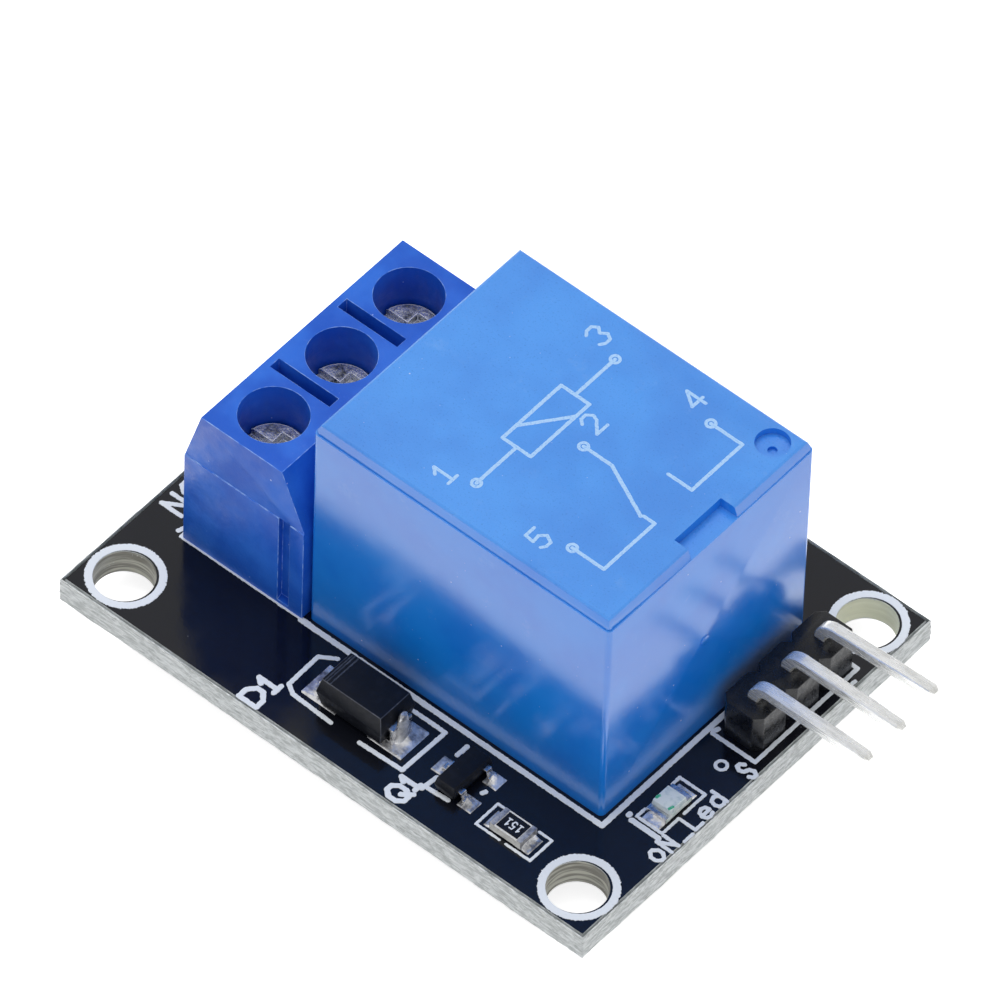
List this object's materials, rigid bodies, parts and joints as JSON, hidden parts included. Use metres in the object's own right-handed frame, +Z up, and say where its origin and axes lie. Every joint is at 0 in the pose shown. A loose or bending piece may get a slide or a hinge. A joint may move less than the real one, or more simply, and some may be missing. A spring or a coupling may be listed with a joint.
{
  "type": "relay module board",
  "caption": "Small relay board with a blue cube relay, a blue screw terminal, a right angle pin header, surface parts and corner mounting holes.",
  "frame": {"origin": "middle of the four mounting holes, on the underside of the board", "axes": "+X along the board from the screw terminals to the pin header, +Y across the board, +Z up out of the component side"},
  "size_m": [0.0389, 0.0264, 0.0177],
  "materials": {
    "board_laminate": "satin black solder mask over glass fibre laminate",
    "blue_housing": "moulded, fine satin",
    "zinc_screw": "zinc plated",
    "plated_clamp": "nickel plated",
    "tinned_brass": "bright tin plate",
    "blue_cover": "moulded, satin gloss",
    "blue_base": "moulded",
    "bobbin_plastic": "moulded",
    "copper_wire": "enamelled copper wire, close wound",
    "soft_iron": "nickel plated",
    "spring_bronze": "rolled strip",
    "contact_silver": "silver alloy",
    "black_plastic": "moulded",
    "black_epoxy": "moulded epoxy",
    "tinned_lead": "tinned",
    "white_ceramic": "fired alumina",
    "resistor_glaze": "glassy coat",
    "lamp_base": "laminate",
    "lamp_chip": "bare chip",
    "lamp_lens": "clear resin",
    "solder": "bright solder"
  },
  "bodies": {
    "board": {"circuit_board": "board_laminate", "terminal_housing": "blue_housing", "terminal_contact_1": "tinned_brass", "terminal_contact_2": "tinned_brass", "terminal_contact_3": "tinned_brass", "relay_cover": "blue_cover", "relay_base": "blue_base", "coil_bobbin": "bobbin_plastic", "coil_winding": "copper_wire", "magnet_core": "soft_iron", "magnet_yoke": "soft_iron", "closed_contact": "spring_bronze", "open_contact": "spring_bronze", "common_terminal": "tinned_brass", "coil_pin_1": "tinned_brass", "coil_pin_2": "tinned_brass", "header_body": "black_plastic", "header_pin_1": "tinned_brass", "header_pin_2": "tinned_brass", "header_pin_3": "tinned_brass", "diode_body": "black_epoxy", "diode_leads": "tinned_lead", "transistor_body": "black_epoxy", "transistor_leads": "tinned_lead", "resistor_body": "white_ceramic", "resistor_film": "resistor_glaze", "resistor_caps": "tinned_lead", "led_base": "lamp_base", "led_contacts": "tinned_lead", "led_chip": "lamp_chip", "led_lens": "lamp_lens", "solder_terminal": "solder", "solder_relay": "solder", "solder_header": "solder", "solder_surface": "solder"},
    "screw_1": {"terminal_screw_1": "zinc_screw"},
    "clamp_1": {"wire_clamp_1": "plated_clamp"},
    "screw_2": {"terminal_screw_2": "zinc_screw"},
    "clamp_2": {"wire_clamp_2": "plated_clamp"},
    "screw_3": {"terminal_screw_3": "zinc_screw"},
    "clamp_3": {"wire_clamp_3": "plated_clamp"},
    "relay_armature": {"armature": "soft_iron", "leaf_spring": "spring_bronze", "moving_contact": "contact_silver"}
  },
  "joints": [
    {"name": "clamp_1_lift", "type": "slide", "parent": "board", "child": "clamp_1", "axis": [0, 0, 1], "range_m": [0, 0.0017]},
    {"name": "screw_1_turn", "type": "hinge", "parent": "board", "child": "screw_1", "pos_m": [-0.01055, -0.00471, 0.0081], "axis": [0, 0, -1], "range_deg": [0, 1224.5]},
    {"name": "clamp_2_lift", "type": "slide", "parent": "board", "child": "clamp_2", "axis": [0, 0, 1], "range_m": [0, 0.0017]},
    {"name": "screw_2_turn", "type": "hinge", "parent": "board", "child": "screw_2", "pos_m": [-0.01055, 0.00037, 0.0081], "axis": [0, 0, -1], "range_deg": [0, 1224.5]},
    {"name": "clamp_3_lift", "type": "slide", "parent": "board", "child": "clamp_3", "axis": [0, 0, 1], "range_m": [0, 0.0017]},
    {"name": "screw_3_turn", "type": "hinge", "parent": "board", "child": "screw_3", "pos_m": [-0.01055, 0.00545, 0.0081], "axis": [0, 0, -1], "range_deg": [0, 1224.5]},
    {"name": "armature_tilt", "type": "hinge", "parent": "board", "child": "relay_armature", "pos_m": [0.0103, 0.00076, 0.0118], "axis": [0, -1, 0], "range_deg": [0, 1.4], "stiffness_Nm_per_rad": 0.03, "springref_deg": -2.86}
  ],
  "couplings": [
    {"joint": "screw_1_turn", "follows": "clamp_1_lift", "rad_per_m": 12566},
    {"joint": "screw_2_turn", "follows": "clamp_2_lift", "rad_per_m": 12566},
    {"joint": "screw_3_turn", "follows": "clamp_3_lift", "rad_per_m": 12566}
  ]
}
